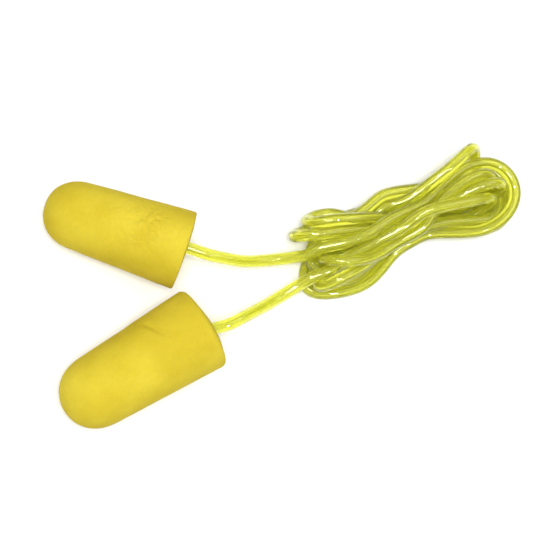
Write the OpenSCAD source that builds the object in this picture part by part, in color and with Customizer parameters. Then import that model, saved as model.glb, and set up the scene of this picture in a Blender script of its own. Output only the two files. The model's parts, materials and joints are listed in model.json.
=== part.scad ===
// Pair of corded foam ear plugs: two tapered, round-nosed foam plugs joined by one
// clear cord, whose spare length is gathered into a waisted hank.
// Everything lies on the plane z = 0. The origin is the middle of the space that the
// two plugs take up, at that plane. The plugs are at -x and the hank is at +x.

/* [Foam plugs] */
// Diameter of a plug across its flat base, as moulded
base_d = 13; // [12:0.1:14]
// Diameter of a plug where its sides run into the rounded nose, as moulded
front_d = 11; // [10:0.1:12]
// Length of a plug from its flat base to the tip of its nose, as moulded
plug_l = 23.4; // [22:0.1:25]
// Length of the rounded nose, as moulded
nose_l = 5.6; // [4:0.1:7]
// How blunt the nose is, where 2 is half an ellipse
nose_power = 2.2; // [2:0.1:3]
// Size of the upper plug against the moulded size
upper_size = 0.965; // [0.94:0.005:1]
// Size of the lower plug against the moulded size
lower_size = 1.03; // [1:0.005:1.05]
// Length of the lower plug against that of its size, because it has been pulled longer
lower_stretch = 1.04; // [1:0.01:1.06]

/* [Cord] */
// Diameter of the clear cord
cord_d = 1.9; // [1.6:0.1:2]
// Depth that each end of the cord is glued into its plug
insert_l = 8; // [5:0.5:12]
// Thickness of the glue between the cord and the foam
glue_t = 0.2; // [0.1:0.05:0.4]

/* [Hank] */
// Height of the gathered cord
hank_h = 8; // [6:0.5:9]
// Width of the hank at its waist
waist_d = 7; // [6:0.1:8]

/* [Colours] */
// Foam
foam_colour = "gold"; // [gold, orange, yellow]
// Cord
cord_colour = "greenyellow"; // [greenyellow, yellow, lightgray]
// Glue
glue_colour = "khaki"; // [khaki, white]

/* [Hidden] */
$fn = 64;

nose_steps = 12;

// Each plug: the centre of its flat base on the plan, the way that its base faces, its
// size and its stretch. Its bore is parallel to its axis, but to the left of it by cord_off,
// and its lead sets off lead_turn to the left of that.
at = 0;
turn = 1;
size = 2;
stretch = 3;
cord_off = 4;
lead_turn = 5;
upper = [[7.8, 8.8], -17, upper_size, 1, 0.6, 0];
lower = [[11, -3.1], 32, lower_size, lower_stretch, -0.75, -13];

// The hank's outline: a round lobe and a smaller one at each end, drawn in to a waist
near_lobe = [32.6, 8.4];
near_lobe_r = 5.4;
near_tip_r = 2.4;
near_tip = [near_lobe[0] - near_lobe_r + near_tip_r, 14.8];
waist = [44, 16];
far_lobe = [57.5, 21];
far_lobe_r = 5.8;
far_tip = [56, 27];
far_tip_r = 1.9;

// Each lead runs straight out of its plug, sags between it and the hank, and meets the
// hank's side square to it, at a height of entry_z
straight_l = 2 * cord_d;
lead_sides = 8;
entry_z = 4.6;
upper_entry = [near_lobe[0] - near_lobe_r, 9.1, entry_z];
upper_entry_way = [1, 0, 0];
lower_entry_turn = 33;
lower_entry_way = [cos(lower_entry_turn), sin(lower_entry_turn), 0];
lower_entry = [near_lobe[0], near_lobe[1], entry_z] - near_lobe_r * lower_entry_way;
upper_sag = [
    [14.2, 8, 5.6], [17.3, 7.9, 4.3], [20.3, 8.3, 3.1], [23, 8.7, 2.8], [25, 8.9, 3.5]
];
lower_sag = [
    [17.1, -1.3, 6.3], [19.1, -0.1, 5.1], [21.4, 1.3, 3.8], [23.4, 2.6, 3.1], [25.6, 4, 3.5]
];

function unit(v) = v / norm(v);
function on_plan(a) = [cos(a), sin(a), 0];

// A plug lies on its side, so its axis climbs towards the base by the angle of its sides
function climb(plug) = atan((base_d - front_d) / 2 / (plug_l - nose_l) / plug[stretch]);
function out_of(plug, a) = cos(climb(plug)) * on_plan(a) + [0, 0, sin(climb(plug))];
function base_centre(plug) =
    [plug[at][0], plug[at][1], plug[size] * base_d / 2 * cos(climb(plug))];
function cord_exit(plug) =
    base_centre(plug) + plug[cord_off] * on_plan(plug[turn] + 90);

// Half the outline of a plug, from the tip of its nose to its base, on the axis x = 0
function side_r(s) =
    base_d / 2 - (plug_l - s) * (base_d - front_d) / 2 / (plug_l - nose_l);
function nose_point(a) =
    let (s = nose_l * (1 - cos(a)))
    [side_r(s) * pow(1 - pow(cos(a), nose_power), 1 / nose_power), s - plug_l];
function plug_outline() = concat(
    [for (i = [0 : nose_steps]) nose_point(90 * i / nose_steps)],
    [[base_d / 2, 0], [0, 0]]
);

// A tube through the points of a route, with its end faces square to two directions
function ring(centre, along) =
    let (side = unit(cross(along, [0, 0, 1])), up = cross(side, along))
    [for (i = [0 : lead_sides - 1])
        let (a = 360 * (i + 0.5) / lead_sides)
        centre + cord_d / 2 * (cos(a) * side + sin(a) * up)];
function route_way(route, i, first_way, last_way) =
    i == 0 ? first_way :
    i == len(route) - 1 ? last_way :
    unit(route[i + 1] - route[i - 1]);

module tube(route, first_way, last_way) {
    n = len(route);
    m = lead_sides;
    points = [
        for (i = [0 : n - 1])
            each ring(route[i], route_way(route, i, first_way, last_way))
    ];
    walls = [
        for (i = [0 : n - 2], j = [0 : m - 1])
            let (k = (j + 1) % m)
            [i * m + j, i * m + k, (i + 1) * m + k, (i + 1) * m + j]
    ];
    first_face = [for (j = [m - 1 : -1 : 0]) j];
    last_face = [for (j = [0 : m - 1]) (n - 1) * m + j];
    polyhedron(points, concat([first_face], walls, [last_face]));
}

module lead(plug, sag, entry, entry_way) {
    start = cord_exit(plug);
    way = out_of(plug, plug[turn] + plug[lead_turn]);
    route = concat([start, start + straight_l * way], sag, [entry]);
    color(cord_colour) tube(route, out_of(plug, plug[turn]), entry_way);
}

// Places a plug's own frame, where the base is at z = 0 and the nose points to -z
module in_plug(plug) {
    translate(base_centre(plug)) rotate([0, 90 - climb(plug), plug[turn]]) children();
}

// In a plug's own frame, puts something on the axis of its bore
module on_bore(plug) {
    translate([0, plug[cord_off], 0]) children();
}

module foam(plug) {
    outline = [for (p = plug_outline()) plug[size] * [p[0], plug[stretch] * p[1]]];
    color(foam_colour)
        difference() {
            rotate_extrude() polygon(outline);
            on_bore(plug)
                translate([0, 0, -insert_l - glue_t])
                    cylinder(d = cord_d + 2 * glue_t, h = insert_l + glue_t + 1);
        }
}

module glue_cup(plug) {
    color(glue_colour)
        on_bore(plug)
            difference() {
                translate([0, 0, -insert_l - glue_t])
                    cylinder(d = cord_d + 2 * glue_t, h = insert_l + glue_t);
                translate([0, 0, -insert_l]) cylinder(d = cord_d, h = insert_l + 1);
            }
}

module cord_end(plug) {
    color(cord_colour)
        on_bore(plug) translate([0, 0, -insert_l]) cylinder(d = cord_d, h = insert_l);
}

module upper_plug() {
    in_plug(upper) foam(upper);
}

module upper_glue() {
    in_plug(upper) glue_cup(upper);
}

module upper_cord_end() {
    in_plug(upper) cord_end(upper);
}

module upper_lead() {
    lead(upper, upper_sag, upper_entry, upper_entry_way);
}

module lower_plug() {
    in_plug(lower) foam(lower);
}

module lower_glue() {
    in_plug(lower) glue_cup(lower);
}

module lower_cord_end() {
    in_plug(lower) cord_end(lower);
}

module lower_lead() {
    lead(lower, lower_sag, lower_entry, lower_entry_way);
}

module lobe(centre, r) {
    translate(centre) circle(r = r);
}

module cord_hank() {
    color(cord_colour)
        linear_extrude(height = hank_h) {
            hull() {
                lobe(near_lobe, near_lobe_r);
                lobe(near_tip, near_tip_r);
                lobe(waist, waist_d / 2);
            }
            hull() {
                lobe(waist, waist_d / 2);
                lobe(far_lobe, far_lobe_r);
                lobe(far_tip, far_tip_r);
            }
        }
}

upper_plug();
upper_glue();
upper_cord_end();
upper_lead();
lower_plug();
lower_glue();
lower_cord_end();
lower_lead();
cord_hank();
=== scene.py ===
import json
import math

import bmesh
import bpy
import numpy as np
from mathutils import Matrix, Vector, noise


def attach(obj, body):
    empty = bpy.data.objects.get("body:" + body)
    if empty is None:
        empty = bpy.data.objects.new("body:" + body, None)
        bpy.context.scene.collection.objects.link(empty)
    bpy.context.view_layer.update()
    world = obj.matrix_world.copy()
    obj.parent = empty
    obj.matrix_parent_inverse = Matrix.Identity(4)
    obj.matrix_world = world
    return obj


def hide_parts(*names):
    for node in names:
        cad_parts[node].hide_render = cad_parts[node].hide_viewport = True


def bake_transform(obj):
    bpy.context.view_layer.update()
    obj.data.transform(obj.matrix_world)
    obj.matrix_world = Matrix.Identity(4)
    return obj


# The looks of a pair of corded foam ear plugs. Lengths are in metres, angles in degrees.
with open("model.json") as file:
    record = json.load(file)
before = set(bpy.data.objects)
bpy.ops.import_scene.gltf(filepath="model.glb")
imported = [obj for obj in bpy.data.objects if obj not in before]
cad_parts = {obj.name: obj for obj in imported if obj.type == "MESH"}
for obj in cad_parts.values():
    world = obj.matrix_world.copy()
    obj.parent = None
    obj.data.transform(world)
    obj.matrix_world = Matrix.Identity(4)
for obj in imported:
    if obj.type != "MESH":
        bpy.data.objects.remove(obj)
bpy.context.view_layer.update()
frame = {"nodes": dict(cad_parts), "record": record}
scene = bpy.context.scene
mounts = {mount["name"]: mount for mount in frame["record"]["mounts"]}
joints = {joint["name"]: joint for joint in frame["record"]["behaviour"]["joints"]}


# ---------------------------------------------------------------- camera
CAMERA_TARGET = Vector((0.0229, 0.0048, 0.006))
CAMERA_DISTANCE = 0.3
CAMERA_RIGHT = Vector((0.9798, 0, 0.2))
CAMERA_BACK = Vector((-0.1966, -0.1837, 0.9631))
SENSOR_W = 36
VIEW_W = 0.08736


def make_camera():
    data = bpy.data.cameras.new("camera")
    data.sensor_width = SENSOR_W
    data.lens = SENSOR_W * CAMERA_DISTANCE / VIEW_W
    data.clip_start = 0.01
    data.clip_end = 10
    camera = bpy.data.objects.new("camera", data)
    scene.collection.objects.link(camera)
    back = CAMERA_BACK.normalized()
    right = (CAMERA_RIGHT - CAMERA_RIGHT.dot(back) * back).normalized()
    turned = Matrix((right, back.cross(right), back)).transposed().to_4x4()
    camera.matrix_world = Matrix.Translation(CAMERA_TARGET + CAMERA_DISTANCE * back) @ turned
    scene.camera = camera


# ---------------------------------------------------------------- materials
def linear(red, green, blue):
    """A colour given as three sRGB values up to 255, as Blender's linear one."""
    parts = [c / 255 for c in (red, green, blue)]
    return (*[c / 12.92 if c <= 0.04045 else ((c + 0.055) / 1.055) ** 2.4 for c in parts], 1)


class Nodes:
    """Builds one material's nodes, with a short call for each kind."""

    def __init__(self, name):
        self.material = bpy.data.materials.new(name)
        self.material.use_nodes = True
        self.tree = self.material.node_tree
        self.shader = self.tree.nodes["Principled BSDF"]
        self.place = self.add("ShaderNodeTexCoord").outputs["Object"]

    def add(self, kind, **values):
        node = self.tree.nodes.new(kind)
        for key, value in values.items():
            setattr(node, key, value)
        return node

    def link(self, source, target):
        self.tree.links.new(source, target)

    def look(self, **values):
        for key, value in values.items():
            self.shader.inputs[key.replace("_", " ")].default_value = value

    def noise(self, per_metre, detail=3, rough=0.5):
        node = self.add("ShaderNodeTexNoise")
        node.inputs["Scale"].default_value = per_metre
        node.inputs["Detail"].default_value = detail
        node.inputs["Roughness"].default_value = rough
        self.link(self.place, node.inputs["Vector"])
        return node.outputs["Fac"]

    def cells(self, per_metre):
        node = self.add("ShaderNodeTexVoronoi")
        node.inputs["Scale"].default_value = per_metre
        self.link(self.place, node.inputs["Vector"])
        return node.outputs["Distance"]

    def ramp(self, factor, *stops):
        node = self.add("ShaderNodeValToRGB")
        ramp = node.color_ramp
        while len(ramp.elements) < len(stops):
            ramp.elements.new(0.5)
        for element, (at, colour) in zip(ramp.elements, stops):
            element.position = at
            element.color = colour
        self.link(factor, node.inputs["Fac"])
        return node.outputs["Color"]

    def mix(self, factor, first, second, way="MIX"):
        node = self.add("ShaderNodeMix", data_type="RGBA", blend_type=way)
        for value, socket in ((factor, 0), (first, 6), (second, 7)):
            if isinstance(value, (int, float, tuple)):
                node.inputs[socket].default_value = value
            else:
                self.link(value, node.inputs[socket])
        return node.outputs[2]

    def bump(self, height, distance, strength=1.0, onto=None):
        node = self.add("ShaderNodeBump")
        node.inputs["Distance"].default_value = distance
        node.inputs["Strength"].default_value = strength
        self.link(height, node.inputs["Height"])
        if onto:
            self.link(onto, node.inputs["Normal"])
        return node.outputs["Normal"]


def grey(value):
    return (value, value, value, 1)


def cord_material():
    nodes = Nodes("clear_vinyl")
    tint = nodes.ramp(
        nodes.noise(90, detail=2),
        (0.3, linear(231, 232, 78)),
        (0.7, linear(236, 237, 90)),
    )
    nodes.link(tint, nodes.shader.inputs["Base Color"])
    rough = nodes.ramp(nodes.noise(2500, detail=4), (0.3, grey(0.02)), (0.75, grey(0.07)))
    nodes.link(rough, nodes.shader.inputs["Roughness"])
    ripple = nodes.bump(nodes.noise(900), distance=0.000004, strength=0.4)
    nodes.link(ripple, nodes.shader.inputs["Normal"])
    nodes.look(IOR=1.5, Transmission_Weight=0.8)
    return nodes.material


def foam_material():
    nodes = Nodes("slow_foam")
    colour = nodes.ramp(nodes.noise(130), (0.3, linear(191, 169, 38)), (0.7, linear(208, 188, 55)))
    fine = nodes.noise(1600, detail=4, rough=0.6)
    mottle = nodes.ramp(fine, (0.35, grey(0.95)), (0.7, grey(1.0)))
    # The pores ramp darkens the colour at the cells' centres, the same spots where the pits bump
    # below sinks the skin: painted shade in the pores.
    pores = nodes.ramp(nodes.cells(3600), (0.12, grey(0.84)), (0.4, grey(1.0)))
    colour = nodes.mix(1.0, colour, mottle, "MULTIPLY")
    colour = nodes.mix(0.5, colour, pores, "MULTIPLY")
    nodes.link(colour, nodes.shader.inputs["Base Color"])
    rough = nodes.ramp(fine, (0.3, grey(0.8)), (0.7, grey(0.95)))
    nodes.link(rough, nodes.shader.inputs["Roughness"])
    pits = nodes.bump(nodes.cells(3600), distance=0.00003, strength=0.5)
    grain = nodes.bump(fine, distance=0.00006, strength=0.5, onto=pits)
    nodes.link(grain, nodes.shader.inputs["Normal"])
    nodes.look(Subsurface_Weight=0.12, Subsurface_Radius=(1.0, 0.7, 0.2))
    nodes.look(Subsurface_Scale=0.0012, Specular_IOR_Level=0.1)
    return nodes.material


def glue_material():
    nodes = Nodes("dried_glue")
    colour = nodes.ramp(
        nodes.noise(1400), (0.3, linear(150, 122, 40)), (0.7, linear(196, 166, 70))
    )
    nodes.link(colour, nodes.shader.inputs["Base Color"])
    rough = nodes.ramp(nodes.noise(3000), (0.3, grey(0.25)), (0.7, grey(0.5)))
    nodes.link(rough, nodes.shader.inputs["Roughness"])
    lumps = nodes.bump(nodes.noise(2200), distance=0.00005, strength=0.7)
    nodes.link(lumps, nodes.shader.inputs["Normal"])
    nodes.look(Transmission_Weight=0.35, IOR=1.48)
    return nodes.material


def floor_material():
    nodes = Nodes("pale_floor")
    colour = nodes.ramp(nodes.noise(40), (0.3, grey(0.87)), (0.7, grey(0.89)))
    nodes.link(colour, nodes.shader.inputs["Base Color"])
    nodes.look(Roughness=0.9, Specular_IOR_Level=0.1)
    return nodes.material


# ---------------------------------------------------------------- meshes
def make_piece(name, points, faces, material, inner=None):
    """A piece from points and faces, whose last inner faces line a hollow in it."""
    mesh = bpy.data.meshes.new(name)
    mesh.from_pydata([tuple(p) for p in points], [], faces)
    skin = bmesh.new()
    skin.from_mesh(mesh)
    bmesh.ops.recalc_face_normals(skin, faces=skin.faces)
    if inner:
        bmesh.ops.reverse_faces(skin, faces=skin.faces[-inner:])
    skin.to_mesh(mesh)
    skin.free()
    mesh.shade_smooth()
    mesh.materials.append(material)
    piece = bpy.data.objects.new(name, mesh)
    scene.collection.objects.link(piece)
    return piece


def loft(rings, first_cap=True, last_cap=True):
    """Points and faces of a skin over rings of equal size, each a closed loop of points."""
    around = len(rings[0])
    points = [p for ring in rings for p in ring]
    faces = []
    for i in range(len(rings) - 1):
        for j in range(around):
            k = (j + 1) % around
            low, high = i * around, (i + 1) * around
            faces.append((low + j, low + k, high + k, high + j))
    for wanted, start, way in ((first_cap, 0, -1), (last_cap, len(points) - around, 1)):
        if wanted:
            hub = len(points)
            ring = [start + j for j in range(around)][::way]
            points.append(sum((np.asarray(points[j]) for j in ring)) / around)
            faces += [(ring[j], ring[(j + 1) % around], hub) for j in range(around)]
    return points, faces


# ---------------------------------------------------------------- cord
CORD_D = 0.0019
CORD_BORE_D = 0.0006
# Length of the cord inside each plug, and of its straight stretch outside
INSERT_L = 0.008
STRAIGHT_L = 2 * CORD_D
# Distances between the points of the route, between the rings of the finished cord, and how
# finely its curves and its rings are divided
ROUTE_GAP = 0.0008
RING_GAP = 0.0005
CURVE_STEPS = 24
CORD_SIDES = 24

# The way that each lead sets off, to the left of the way that its plug's bore faces
UPPER_LEAD_TURN = 0
LOWER_LEAD_TURN = -13
# The leads' routes from there to the hank, as the CAD model has them
UPPER_SAG = [
    (0.0142, 0.008, 0.0056), (0.0173, 0.0079, 0.0043), (0.0203, 0.0083, 0.0031),
    (0.023, 0.0087, 0.0028), (0.025, 0.0089, 0.0035), (0.0272, 0.0091, 0.0046),
]
LOWER_SAG = [
    (0.0171, -0.0013, 0.0063), (0.0191, -0.0001, 0.0051), (0.0214, 0.0013, 0.0038),
    (0.0234, 0.0026, 0.0031), (0.0256, 0.004, 0.0035), (0.0281, 0.0055, 0.0046),
]
# From there each lead goes over the hank's near lobe to its waist
UPPER_OVER = [(0.029, 0.0095, 0.0056), (0.0317, 0.0107, 0.0064), (0.0365, 0.0129, 0.0064)]
LOWER_OVER = [(0.03, 0.0066, 0.0056), (0.0332, 0.0086, 0.0064), (0.0377, 0.0118, 0.0066)]

# The hank's waist, and the way from its near lobe to its far lobe there
WAIST = np.array([0.044, 0.016, 0.0])
WAIST_TURN = 36
# The cord passes the waist and turns back in a lobe, again and again. Each row is one pass and
# the turn after it, in millimetres and degrees: the pass's distance to the left of the waist's
# middle and its height, the turn's tip, the way it points, its radius, how far it leans over,
# its height, its direction, and the points it passes before and after it.
LEFTWARD, RIGHTWARD = 1, -1
HANK = [
    (0.5, 5.9, (62.0, 23.1), 26, 5.2, 0, 4.6, RIGHTWARD, [], [(51.4, 14.7, 3.4)]),
    (-2.6, 1.0, (29.9, 6.6), 218, 4.2, 0, 1.0, RIGHTWARD, [(39.3, 6.2, 1.0)], []),
    (0.9, 1.0, (61.8, 23.2), 26, 4.6, 0, 1.0, RIGHTWARD, [], []),
    (-1.0, 1.0, (30.2, 6.8), 214, 3.9, 0, 2.9, RIGHTWARD, [(39.1, 7.6, 1.0)], []),
    (1.9, 2.6, (59.2, 22.2), 28, 3.8, 10, 2.9, RIGHTWARD, [], []),
    (-1.9, 2.6, (29.1, 6.7), 204, 3.6, 60, 4.2, RIGHTWARD, [(38.4, 8.4, 3.4)], []),
    (0.9, 4.2, (55.2, 27.3), 60, 3.3, 72, 5.2, LEFTWARD, [], []),
    (2.6, 4.2, (28.2, 14.7), 183, 3.2, 80, 4.6, LEFTWARD, [(36.6, 14.6, 2.6)], []),
    (0.0, 2.6, (59.6, 21.5), 22, 3.4, 72, 4.0, LEFTWARD, [], []),
    (-0.9, 4.2, (26.0, 12.6), 185, 3.4, 80, 4.4, RIGHTWARD, [], []),
    (2.7, 1.0, (57.8, 23.0), 36, 3.4, 65, 4.4, LEFTWARD, [], []),
    (-1.9, 4.4, (29.7, 8.7), 204, 3.5, 50, 4.4, RIGHTWARD, [(37.0, 10.0, 4.4)], []),
    (-0.9, 2.6, (58.4, 18.7), 12, 3.4, 70, 4.2, LEFTWARD, [], []),
]
LAST_PASS = (-1.0, 5.9)
# Passes that come before the one where the two halves of the drawn cord meet
PASSES_OF_UPPER_HALF = 8
# Points on each turn, and how far it sweeps to each side of its tip
TURN_POINTS = 7
TURN_SWEEP = 100
MM = 0.001


def flat_way(turn):
    return np.array([math.cos(math.radians(turn)), math.sin(math.radians(turn)), 0.0])


def waist_pass(left, height):
    return WAIST + MM * left * flat_way(WAIST_TURN + 90) + MM * np.array([0, 0, height])


def hank_turn(tip, heading, radius, lean, height, direction):
    ahead = flat_way(heading)
    lean = math.radians(lean)
    across = math.cos(lean) * flat_way(heading + 90) + math.sin(lean) * np.array([0, 0, 1])
    centre = MM * (np.array([tip[0], tip[1], height]) - radius * ahead)
    angles = np.radians(np.linspace(-TURN_SWEEP, TURN_SWEEP, TURN_POINTS))[::direction]
    return [centre + MM * radius * (math.cos(a) * ahead + math.sin(a) * across) for a in angles]


def cord_exit(plug):
    """Where the cord leaves a plug, and the way that its bore faces there."""
    twist = joints[plug + "_twist"]
    return np.array(twist["pos_m"]), np.array(twist["axis"])


def plug_end(plug, lead_turn):
    """The cord's points from the bottom of a plug's bore to the end of its straight stretch."""
    place, out = cord_exit(plug)
    way = Matrix.Rotation(math.radians(lead_turn), 3, "Z") @ Vector(out)
    inside = [place - share * INSERT_L * out for share in (1, 0.5, 0)]
    return inside + [place + STRAIGHT_L * np.array(way)]


def evenly(line, gap):
    """The same line with points at even distances."""
    run = np.concatenate([[0], np.cumsum(np.linalg.norm(np.diff(line, axis=0), axis=1))])
    at = np.linspace(0, run[-1], int(round(run[-1] / gap)) + 1)
    return np.stack([np.interp(at, run, line[:, k]) for k in range(3)], 1)


def smooth_line(points, gap):
    """A centripetal Catmull-Rom curve through the points, with points at even distances."""
    p = np.array(points, float)
    p = np.vstack([2 * p[0] - p[1], p, 2 * p[-1] - p[-2]])
    pieces = []
    for p0, p1, p2, p3 in zip(p, p[1:], p[2:], p[3:]):
        t1 = np.linalg.norm(p1 - p0) ** 0.5
        t2 = t1 + np.linalg.norm(p2 - p1) ** 0.5
        t3 = t2 + np.linalg.norm(p3 - p2) ** 0.5
        t = np.linspace(t1, t2, CURVE_STEPS, endpoint=False)[:, None]
        a1 = (t1 - t) / t1 * p0 + t / t1 * p1
        a2 = (t2 - t) / (t2 - t1) * p1 + (t - t1) / (t2 - t1) * p2
        a3 = (t3 - t) / (t3 - t2) * p2 + (t - t2) / (t3 - t2) * p3
        b1 = (t2 - t) / t2 * a1 + t / t2 * a2
        b2 = (t3 - t) / (t3 - t1) * a2 + (t - t1) / (t3 - t1) * a3
        pieces.append((t2 - t) / (t2 - t1) * b1 + (t - t1) / (t2 - t1) * b2)
    pieces.append(p[-2:-1])
    return evenly(np.concatenate(pieces), gap)


def nearest(line, point):
    return int(np.argmin(np.linalg.norm(line - np.asarray(point), axis=1)))


def cord_route():
    """The cord's line before it settles, and the stretch of it that is free to."""
    points = plug_end("upper", UPPER_LEAD_TURN) + UPPER_SAG + UPPER_OVER
    for left, high, tip, heading, radius, lean, height, direction, before, after in HANK:
        points.append(waist_pass(left, high))
        points += [MM * np.array(p) for p in before]
        points += hank_turn(tip, heading, radius, lean, height, direction)
        points += [MM * np.array(p) for p in after]
    points.append(waist_pass(*LAST_PASS))
    points += LOWER_OVER[::-1] + LOWER_SAG[::-1] + plug_end("lower", LOWER_LEAD_TURN)[::-1]
    line = smooth_line(points, ROUTE_GAP)
    return line, nearest(line, UPPER_SAG[-1]) + 1, nearest(line, LOWER_SAG[-1])


# How the hank settles: small moves, many times over. In the last rounds nothing holds it to
# its route, so that no strand is left inside another.
ROUNDS = 500
FREEING_ROUNDS = 60
# Pull towards the loose route, which fades to the last value
HOLD_FIRST, HOLD_LAST = 0.04, 0.002
# The hank is drawn tight: its length against that of the loose route
DRAWN_IN = 0.975
# Distance that the cord sinks in a round
WEIGHT = 4e-6
# The waist is drawn together over this reach to each side of it, and towards this height
WAIST_PULL = 0.035
WAIST_REACH = 0.003
WAIST_HEIGHT = 0.0032
# The cord evens out its bends, and unbends where it is sharper than the radius over the span
STIFFNESS = 0.11
STIFF_PASSES = 3
BEND_SPAN = 0.0036
BEND_RADIUS = 0.0039
UNBENDING = 0.15
# How much of a wrong distance between neighbours is put right at once
KEEPING_LENGTH = 0.4
LENGTH_PASSES = 2
SMOOTHING = 0.03
SMOOTH_STEPS = 4
# A stretch is smoothed fully where it turns by less than the first over that many steps, and
# not at all where it turns by more than the second
SMOOTH_TURN = (0.25, 0.5)
# Strands within this distance are watched, if they are further apart than that along the cord
WATCHED = 1.35 * CORD_D
ALONG_CORD = 2.2 * CORD_D
WATCH_EVERY = 5
PUSH = 1.3
FREEING_PUSHES = 2


def straighten(line, span, length, share, only_out, free):
    """Moves points that are span steps apart towards length."""
    apart = line[span:] - line[:-span]
    distance = np.linalg.norm(apart, axis=1)
    wrong = length - distance
    if only_out:
        wrong = np.clip(wrong, 0, None)
    move = apart / distance[:, None] * (share * wrong)[:, None]
    line[span:] += free[span:] * move
    line[:-span] -= free[:-span] * move


def straight_share(route, steps):
    """1 where a route is nearly straight, and 0 in its turns."""
    chords = route[steps:] - route[:-steps]
    chords /= np.linalg.norm(chords, axis=1)[:, None]
    turn = np.arccos(np.clip((chords[steps:] * chords[:-steps]).sum(1), -1, 1))
    share = np.zeros((len(route), 1))
    share[steps:-steps, 0] = (SMOOTH_TURN[1] - turn) / (SMOOTH_TURN[1] - SMOOTH_TURN[0])
    return np.clip(share, 0, 1)


def bending(line, steps):
    """How far each point is from where its neighbours, some steps away, would bend it least."""
    bent = np.zeros_like(line)
    bent[2 * steps:-2 * steps] = (
        line[:-4 * steps] - 4 * line[steps:-3 * steps] + 6 * line[2 * steps:-2 * steps]
        - 4 * line[3 * steps:-steps] + line[4 * steps:]
    )
    return bent


def push_apart(line, pairs, free):
    """Moves stretches of the cord that are in each other apart."""
    i, j = pairs
    apart = line[i] - line[j]
    distance = np.linalg.norm(apart, axis=1) + 1e-9
    inside = distance < CORD_D
    move = apart / distance[:, None] * (np.clip(CORD_D - distance, 0, None) / 2)[:, None]
    moves = np.zeros_like(line)
    count = np.zeros(len(line))
    np.add.at(moves, i, move)
    np.add.at(moves, j, -move)
    np.add.at(count, i, inside)
    np.add.at(count, j, inside)
    line += free * PUSH * moves / np.maximum(count, 1)[:, None]


def close_pairs(line, apart_from):
    """Pairs of points that are close, though at least apart_from steps away along the line."""
    square = (line * line).sum(1)
    near = square[:, None] + square[None] - 2 * line @ line.T < WATCHED ** 2
    return np.nonzero(np.triu(near, apart_from))


def settle(route, first, last):
    """Lets the cord lie on itself and on the floor, without stretching or bending sharply."""
    line = route.copy()
    gap = DRAWN_IN * np.linalg.norm(np.diff(route, axis=0), axis=1).mean()
    free = np.zeros((len(line), 1))
    free[first:last] = 1
    loose = free[:, 0]
    apart_from = int(round(ALONG_CORD / gap))
    span = int(round(BEND_SPAN / gap))
    chord = 2 * BEND_RADIUS * math.sin(span * gap / (2 * BEND_RADIUS))
    along, side = flat_way(WAIST_TURN), flat_way(WAIST_TURN + 90)
    straight = straight_share(route, SMOOTH_STEPS)

    def keep_shape():
        straighten(line, span, chord, UNBENDING, True, free)
        straighten(line, 1, gap, KEEPING_LENGTH, False, free)

    def push_up():
        line[:, 2] = np.where(loose > 0, np.maximum(line[:, 2], CORD_D / 2), line[:, 2])

    for k in range(ROUNDS):
        left = 1 - k / (ROUNDS - 1)
        line += free * (HOLD_FIRST * left**2 + HOLD_LAST) * (route - line)
        line[:, 2] -= loose * WEIGHT
        from_waist = line - WAIST
        tied = np.clip(1 - np.abs(from_waist @ along) / WAIST_REACH, 0, 1) * loose * WAIST_PULL
        line -= (tied * (from_waist @ side))[:, None] * side
        line[:, 2] -= tied * (line[:, 2] - WAIST_HEIGHT)
        for _ in range(STIFF_PASSES):
            line -= free * STIFFNESS * bending(line, 1)
        line -= free * straight * SMOOTHING * bending(line, SMOOTH_STEPS)
        for _ in range(LENGTH_PASSES):
            keep_shape()
        if k % WATCH_EVERY == 0:
            pairs = close_pairs(line, apart_from)
        push_apart(line, pairs, free)
        push_up()
    for k in range(FREEING_ROUNDS):
        if k % WATCH_EVERY == 0:
            pairs = close_pairs(line, apart_from)
        line -= free * STIFFNESS * bending(line, 1)
        keep_shape()
        for _ in range(FREEING_PUSHES):
            push_apart(line, pairs, free)
        push_up()
    return line


def tube_rings(line, radius):
    """Rings of points round a line, without twist from one to the next."""
    ways = np.gradient(line, axis=0)
    ways /= np.linalg.norm(ways, axis=1)[:, None]
    side = np.cross(ways[0], [0, 0, 1])
    rings = []
    for point, way in zip(line, ways):
        side = side - way * (side @ way)
        side /= np.linalg.norm(side)
        up = np.cross(side, way)
        rings.append([
            point + radius * (math.cos(a) * side + math.sin(a) * up)
            for a in np.linspace(0, 2 * math.pi, CORD_SIDES, endpoint=False)
        ])
    return rings


def make_half(name, line, material):
    """One half of the cord, from the bottom of a plug's bore to the middle of the hank."""
    points, faces = loft(tube_rings(line, CORD_D / 2), last_cap=False)
    inner_points, inner_faces = loft(tube_rings(line[1:], CORD_BORE_D / 2), last_cap=False)
    faces += [[len(points) + corner for corner in face] for face in inner_faces]
    points += inner_points
    piece = make_piece(name, points, faces, material, inner=len(inner_faces))
    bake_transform(piece)
    return piece


def make_cord():
    material = cord_material()
    route, first, last = cord_route()
    line = smooth_line(settle(route, first, last), RING_GAP)
    meeting = nearest(route, waist_pass(*HANK[PASSES_OF_UPPER_HALF][:2]))
    cut = int(round(meeting / (len(route) - 1) * (len(line) - 1)))
    upper = make_half(
        "cord_upper_half", line[: cut + 1], material,
    )
    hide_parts("upper_cord_end", "upper_lead", "cord_hank")
    lower = make_half(
        "cord_lower_half", line[cut:][::-1], material,
    )
    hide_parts("lower_cord_end", "lower_lead")


# ---------------------------------------------------------------- foam plugs
# A plug as moulded: its length, the width of its base and of its front, and its nose, which is
# round for a power of 2 and blunter above that
PLUG_L = 0.0234
BASE_D = 0.013
FRONT_D = 0.011
NOSE_L = 0.0056
NOSE_POWER = 2.2
# The size of each plug against that
UPPER_SIZE = 0.965
LOWER_SIZE = 1.03
# How finely its skin is divided
PLUG_SIDES = 224
NOSE_RINGS = 44
SIDE_RINGS = 120
RIM_RINGS = 8
BASE_RINGS = 26
# The mouth of the bore, as deep as it shows, and the dimple round it
BORE_R = 0.00105
BORE_DEPTH = 0.0012
DIMPLE_DEPTH = 0.0003
DIMPLE_W = 0.0005
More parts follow.
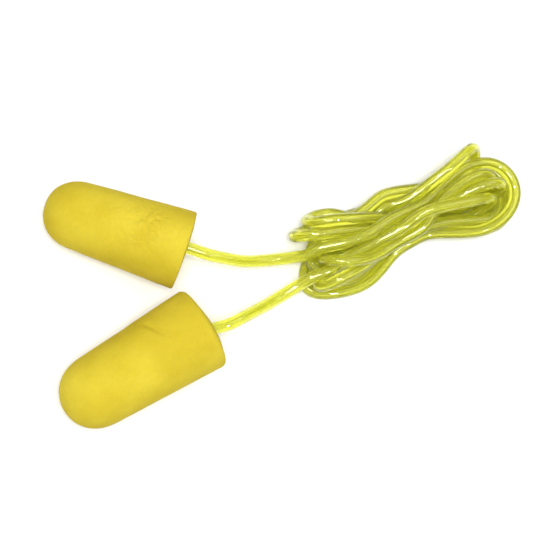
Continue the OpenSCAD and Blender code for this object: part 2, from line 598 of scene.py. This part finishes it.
# The skin's dents, ripples and pores: how closely they are set, per metre, and their depths
DENTS, DENT_DEPTH = 190, 0.00007
RIPPLES, RIPPLE_DEPTH = 650, 0.00002
PORES, PORE_DEPTH = 3200, 0.000014
PORE_LEVEL = 0.25
# A wrinkled patch has a warped net of folds and a finer one: how closely they are set, the
# share of the noise's range that a fold takes up, and the finer one's share of the depth
NET, NET_W = 520, 0.16
WARP, WARP_SIZE = 300, 1.4
FINE_NET, FINE_NET_W = 1150, 0.2
FINE_SHARE = 0.5
PATCH_REACH = 2
# Sets the two plugs' noise apart
SEED_STEP = 700
# Blender's noise vectors follow the clock unless they are given a seed
NOISE_SEED = 1794966239
# The rough radius of a plug's side, and a crease's bow and how shallow its ends are
SIDE_R = 0.0063
CREASE_BOW = 0.00012
CREASE_END = 0.1


def plug_outline(size, length, rim, crown):
    """Distances from the tip, radii and shares of the bore's offset, from tip to bore.

    rim is the radius of the base's edge, and crown is how far the base bulges.
    """
    slope = (BASE_D - FRONT_D) / 2 / (PLUG_L - NOSE_L)
    stretch = length / PLUG_L

    def side_r(s):
        return size * (BASE_D / 2 - (PLUG_L - s / stretch) * slope)

    outline = []
    for i in range(1, NOSE_RINGS + 1):
        a = math.radians(90 * i / NOSE_RINGS)
        s = NOSE_L * stretch * (1 - math.cos(a))
        blunt = (1 - math.cos(a) ** NOSE_POWER) ** (1 / NOSE_POWER)
        outline.append((s, side_r(s) * blunt, 0))
    start = outline[-1][0]
    for i in range(1, SIDE_RINGS + 1):
        s = start + (length - rim - start) * i / SIDE_RINGS
        outline.append((s, side_r(s), 0))
    edge = side_r(length - rim)
    for i in range(1, RIM_RINGS + 1):
        a = math.radians(90 * i / RIM_RINGS)
        outline.append((length - rim + rim * math.sin(a), edge - rim * (1 - math.cos(a)), 0))
    face_r = outline[-1][1]
    for i in range(1, BASE_RINGS + 1):
        r = face_r + (BORE_R - face_r) * i / BASE_RINGS
        rise = crown * (1 - (r / face_r) ** 2)
        dimple = DIMPLE_DEPTH * math.exp(-(((r - BORE_R) / DIMPLE_W) ** 2))
        outline.append((length + rise - dimple, r, i / BASE_RINGS))
    outline.append((outline[-1][0] - BORE_DEPTH, BORE_R, 1))
    return outline


def crease(s, angle, start, end, width, depth):
    """Depth of a crease between two places, each a distance from the tip and an angle."""
    a = Vector((start[0], math.radians(start[1]) * SIDE_R))
    b = Vector((end[0], math.radians(end[1]) * SIDE_R))
    p = Vector((s, angle * SIDE_R))
    t = min(1, max(0, (p - a).dot(b - a) / (b - a).length_squared))
    off = (p - a.lerp(b, t)).length + CREASE_BOW * math.sin(math.pi * t)
    fade = math.sin(math.pi * (CREASE_END + (1 - 2 * CREASE_END) * t))
    return depth * math.exp(-((off / width) ** 2)) * fade


def skin_relief(at, s, angle, creases, patch, patch_depth):
    """How far the foam's skin stands out at a point, from broad dents to fine pores.

    A patch of wrinkles has its middle's distance from the tip and angle from the top, then
    its half length and half angle.
    """
    seed = Vector((patch[0] * SEED_STEP, patch[1], 0))
    dents = noise.noise(at * DENTS + seed)
    ripples = noise.noise(at * RIPPLES + seed)
    pores = max(0, noise.noise(at * PORES + seed) - PORE_LEVEL)
    relief = DENT_DEPTH * dents + RIPPLE_DEPTH * ripples - PORE_DEPTH * pores
    for c in creases:
        relief -= crease(s, angle, *c)
    off = math.hypot((s - patch[0]) / patch[2], (math.degrees(angle) - patch[1]) / patch[3])
    if off < PATCH_REACH:
        net = noise.noise(at * NET + WARP_SIZE * noise.noise_vector(at * WARP) + seed)
        fine = noise.noise(at * FINE_NET + seed)
        fold = math.exp(-((net / NET_W) ** 2))
        fold += FINE_SHARE * math.exp(-((fine / FINE_NET_W) ** 2))
        relief -= patch_depth * fold * math.exp(-off * off)
    return relief


def make_plug(plug, size, material, rim, crown, creases, patch, patch_depth):
    """A foam plug between the places that the record gives for its tip and its base."""
    tip = Vector(mounts[plug + "_ear_canal"]["pos_m"])
    base = Vector(mounts[plug + "_push_face"]["pos_m"])
    to_bore = Vector(cord_exit(plug)[0]) - base
    axis = (base - tip).normalized()
    side = axis.cross(Vector((0, 0, 1))).normalized()
    up = side.cross(axis)
    rings = []
    outline = plug_outline(size, (base - tip).length, rim, crown)
    for i, (s, r, share) in enumerate(outline):
        before, after = outline[max(0, i - 1)], outline[min(len(outline) - 1, i + 1)]
        along, outward = after[0] - before[0], after[1] - before[1]
        step = math.hypot(along, outward)
        lean = (-outward / step, along / step)
        ring = []
        for j in range(PLUG_SIDES):
            angle = 2 * math.pi * j / PLUG_SIDES
            from_top = (angle + math.pi) % (2 * math.pi) - math.pi
            round_way = math.cos(angle) * up - math.sin(angle) * side
            at = tip + s * axis + r * round_way + share * to_bore
            relief = skin_relief(at, s, from_top, creases, patch, patch_depth)
            if r <= BORE_R:
                relief = 0
            ring.append(at + relief * (lean[0] * axis + lean[1] * round_way))
        rings.append(ring)
    points, faces = loft(rings)
    piece = make_piece(plug + "_foam", points, faces, material)
    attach(piece, plug + "_ear_plug")
    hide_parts(plug + "_plug")


def make_plugs():
    noise.seed_set(NOISE_SEED)
    material = foam_material()
    make_plug(
        "upper", UPPER_SIZE, material, rim=0.00035, crown=0.0003, creases=[],
        patch=(0.0148, 12, 0.0045, 40), patch_depth=0.00023,
    )
    make_plug(
        "lower", LOWER_SIZE, material, rim=0.0009, crown=0.0009,
        creases=[
            ((0.0166, 55), (0.0184, 14), 0.0006, 0.0005),
            ((0.0184, -9), (0.0177, -27), 0.0005, 0.0003),
        ],
        patch=(0.011, 5, 0.004, 30), patch_depth=0.00001,
    )


def finish_glue():
    material = glue_material()
    for node in ("upper_glue", "lower_glue"):
        glue = frame["nodes"][node]
        glue.data.materials.clear()
        glue.data.materials.append(material)


# ---------------------------------------------------------------- surroundings
FLOOR_HALF = 1.5
# The dome's brightness at a few heights, from 0 where it is level to 1 overhead
DOME = ((0, 0.05), (0.35, 0.2), (0.85, 1.0))
DOME_STRENGTH = 0.96
# Light goes through many walls of clear cord in the hank
LIGHT_BOUNCES = 32


def make_floor():
    half = FLOOR_HALF
    corners = [(-half, -half, 0), (half, -half, 0), (half, half, 0), (-half, half, 0)]
    floor = make_piece("floor", corners, [(0, 1, 2, 3)], floor_material())


def make_light(name, place, size, power):
    data = bpy.data.lights.new(name, "AREA")
    data.shape = "DISK"
    data.size = size
    data.energy = power
    light = bpy.data.objects.new(name, data)
    scene.collection.objects.link(light)
    light.location = place
    aim = CAMERA_TARGET - Vector(place)
    light.rotation_euler = aim.to_track_quat("-Z", "Y").to_euler()
    return light


def make_glint(name, place, size, power):
    """A small light that is seen only as a highlight on gloss."""
    light = make_light(name, place, size, power)
    light.visible_diffuse = False
    light.visible_transmission = False


def make_world():
    """A soft dome of light, bright overhead and dim near the floor."""
    world = bpy.data.worlds.new("studio")
    world.use_nodes = True
    tree = world.node_tree
    height = tree.nodes.new("ShaderNodeSeparateXYZ")
    shade = tree.nodes.new("ShaderNodeValToRGB")
    shade.color_ramp.elements.new(0.5)
    for element, (at, value) in zip(shade.color_ramp.elements, DOME):
        element.position = at
        element.color = grey(value)
    way = tree.nodes.new("ShaderNodeTexCoord").outputs["Generated"]
    background = tree.nodes["Background"]
    tree.links.new(way, height.inputs[0])
    tree.links.new(height.outputs["Z"], shade.inputs["Fac"])
    tree.links.new(shade.outputs["Color"], background.inputs["Color"])
    background.inputs["Strength"].default_value = DOME_STRENGTH
    scene.world = world


def make_lights():
    make_world()
    make_light("key", (-0.07, -0.1, 0.6), size=0.25, power=3.0)
    make_light("fill", (0.4, 0.1, 0.5), size=0.4, power=0.6)
    make_glint("left_glint", (-0.2, 0.1, 0.5), size=0.05, power=1.5)
    make_glint("right_glint", (0.2, -0.2, 0.5), size=0.05, power=1.5)
    scene.view_settings.view_transform = "Standard"
    scene.cycles.max_bounces = LIGHT_BOUNCES
    scene.cycles.transmission_bounces = LIGHT_BOUNCES
    scene.cycles.glossy_bounces = LIGHT_BOUNCES


make_camera()
make_cord()
make_plugs()
finish_glue()
make_floor()
make_lights()
